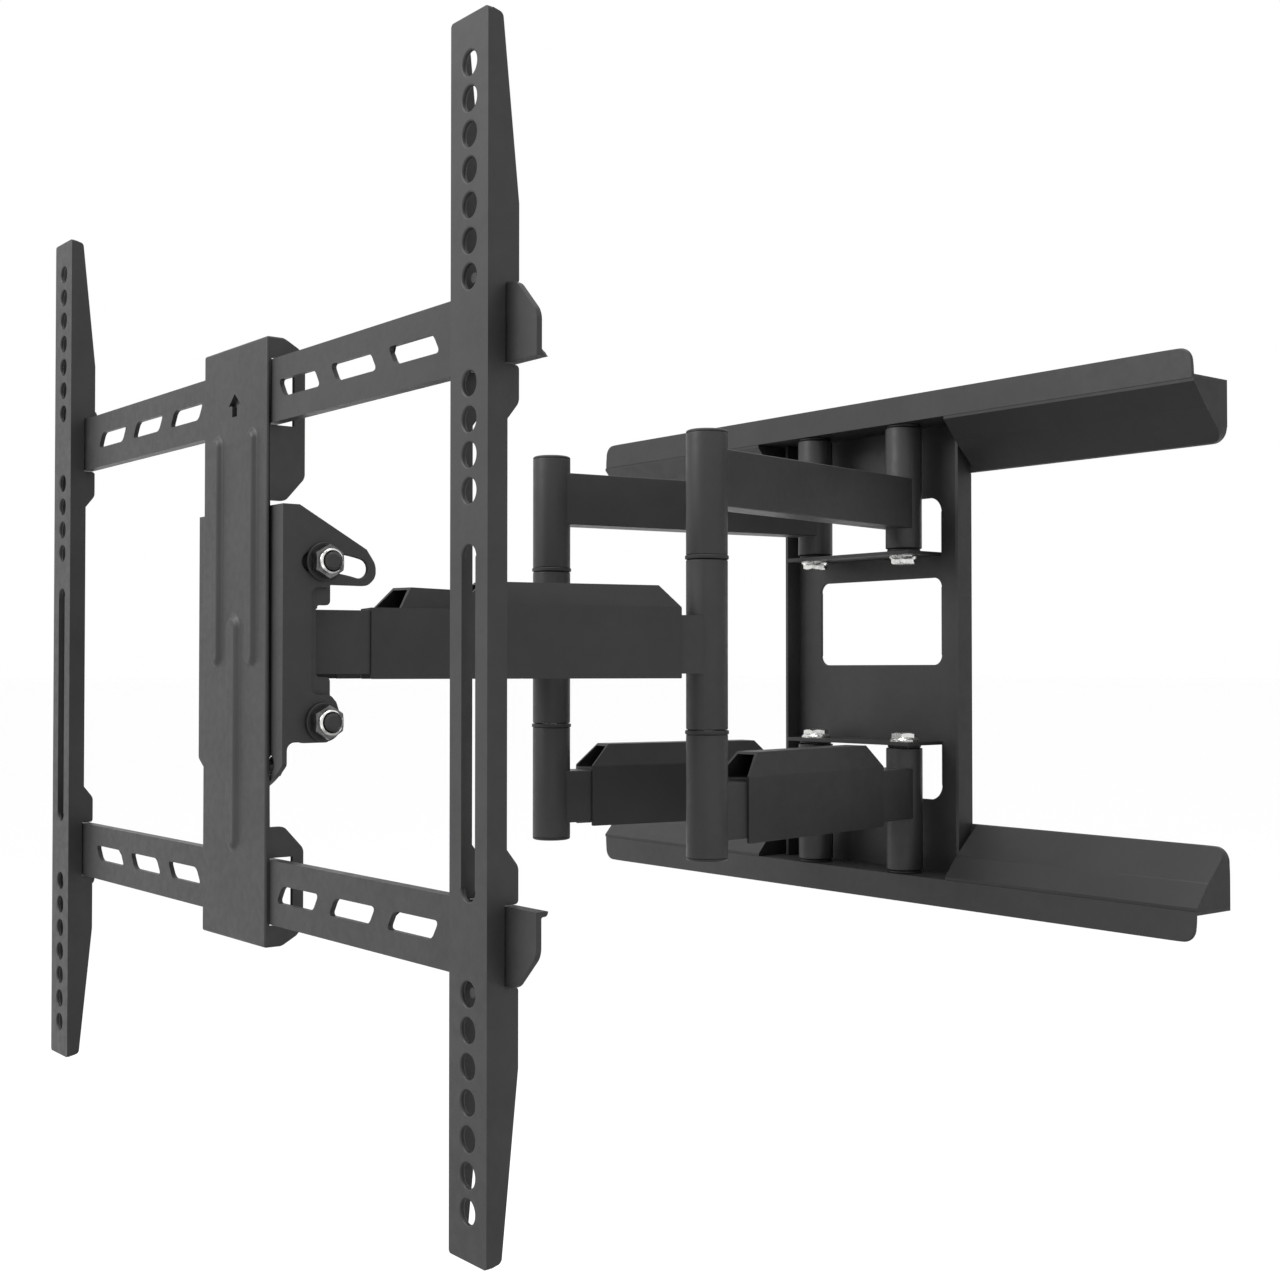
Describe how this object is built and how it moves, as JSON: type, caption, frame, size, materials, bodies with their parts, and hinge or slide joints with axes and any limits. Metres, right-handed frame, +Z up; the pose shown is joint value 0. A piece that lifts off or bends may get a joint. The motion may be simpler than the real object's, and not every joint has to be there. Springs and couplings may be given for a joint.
{
  "type": "tv wall mount",
  "caption": "Full-motion wall mount: a slotted wall plate carries folding arm pairs, a tilting and levelling head, and sliding upright brackets for a flat television.",
  "frame": {"origin": "middle of the wall plate's back, on the wall, centred between its four fixing slots", "axes": "+X along the wall to the right for someone facing it, +Z up, and the television stands out towards -Y; the mount is a mirror image of itself across X apart from its bolt ends"},
  "size_m": [0.465, 0.4224, 0.434],
  "materials": {
    "black_steel": "satin black powder coat",
    "black_plastic": "smooth satin moulded plastic",
    "zinc": "bright zinc plate",
    "black_bolt": "black oxide",
    "washer_plastic": "matt nylon"
  },
  "bodies": {
    "wall_plate": {"upper_rail": "black_steel", "lower_rail": "black_steel", "centre_panel": "black_steel", "rail_cover_upper_right": "black_plastic", "rail_cover_upper_left": "black_plastic", "rail_cover_lower_right": "black_plastic", "rail_cover_lower_left": "black_plastic", "wall_pivot_bolts": "zinc", "wall_pivot_nuts": "zinc", "wall_pivot_washers": "washer_plastic"},
    "left_rear_arms": {"left_upper_rear_arm": "black_steel", "left_lower_rear_arm": "black_steel", "left_rear_arm_cover": "black_plastic", "left_elbow_pin": "zinc", "left_elbow_caps": "black_plastic", "left_elbow_washers": "washer_plastic"},
    "right_rear_arms": {"right_upper_rear_arm": "black_steel", "right_lower_rear_arm": "black_steel", "right_rear_arm_cover": "black_plastic", "right_elbow_pin": "zinc", "right_elbow_caps": "black_plastic", "right_elbow_washers": "washer_plastic"},
    "left_front_arms": {"left_front_arm": "black_steel", "left_front_arm_cover": "black_plastic"},
    "right_front_arms": {"right_front_arm": "black_steel", "right_front_arm_cover": "black_plastic"},
    "head": {"head_yoke": "black_steel", "head_pivot_bolts": "zinc", "head_pivot_nuts": "zinc", "head_pivot_washers": "washer_plastic", "tilt_pivot_bolt": "black_bolt", "tilt_lock_bolt": "black_bolt", "tilt_nuts": "zinc", "tilt_washers": "washer_plastic"},
    "tilter": {"tilt_bracket": "black_steel"},
    "tv_frame": {"centre_plate": "black_steel", "upper_bar": "black_steel", "lower_bar": "black_steel", "level_pivot_rivet": "black_bolt", "level_lock_screws": "black_bolt"},
    "right_tv_upright": {"right_tv_bracket": "black_steel", "right_bracket_keepers": "black_bolt"},
    "left_tv_upright": {"left_tv_bracket": "black_steel", "left_bracket_keepers": "black_bolt"}
  },
  "joints": [
    {"name": "fold", "type": "hinge", "parent": "wall_plate", "child": "left_rear_arms", "pos_m": [-0.036, -0.0195, 0], "axis": [0, 0, -1], "range_deg": [-9.5, 72]},
    {"name": "right_fold", "type": "hinge", "parent": "wall_plate", "child": "right_rear_arms", "pos_m": [0.036, -0.0195, 0], "axis": [0, 0, 1], "range_deg": [-9.6, 72.1]},
    {"name": "left_elbow", "type": "hinge", "parent": "left_rear_arms", "child": "left_front_arms", "pos_m": [-0.066, -0.19597, 0], "axis": [0, 0, 1], "range_deg": [-18.3, 138]},
    {"name": "right_elbow", "type": "hinge", "parent": "right_rear_arms", "child": "right_front_arms", "pos_m": [0.066, -0.19597, 0], "axis": [0, 0, -1], "range_deg": [-18.3, 138]},
    {"name": "head_turn", "type": "hinge", "parent": "left_front_arms", "child": "head", "pos_m": [-0.0125, -0.39179, 0], "axis": [0, 0, -1], "range_deg": [-8.8, 66]},
    {"name": "tilt", "type": "hinge", "parent": "head", "child": "tilter", "pos_m": [0, -0.39499, -0.035], "axis": [1, 0, 0], "range_deg": [-4, 13]},
    {"name": "level", "type": "hinge", "parent": "tilter", "child": "tv_frame", "pos_m": [0, -0.4142, 0], "axis": [0, 1, 0], "range_deg": [-3, 3]},
    {"name": "right_upright_slide", "type": "slide", "parent": "tv_frame", "child": "right_tv_upright", "axis": [1, 0, 0], "range_m": [-0.125, 0.01]},
    {"name": "left_upright_slide", "type": "slide", "parent": "tv_frame", "child": "left_tv_upright", "axis": [-1, 0, 0], "range_m": [-0.125, 0.01]}
  ],
  "couplings": [
    {"joint": "right_fold", "follows": "fold", "ratio": 1},
    {"joint": "left_elbow", "follows": "fold", "ratio": 1.913},
    {"joint": "right_elbow", "follows": "fold", "ratio": 1.913},
    {"joint": "head_turn", "follows": "fold", "ratio": 0.913}
  ]
}
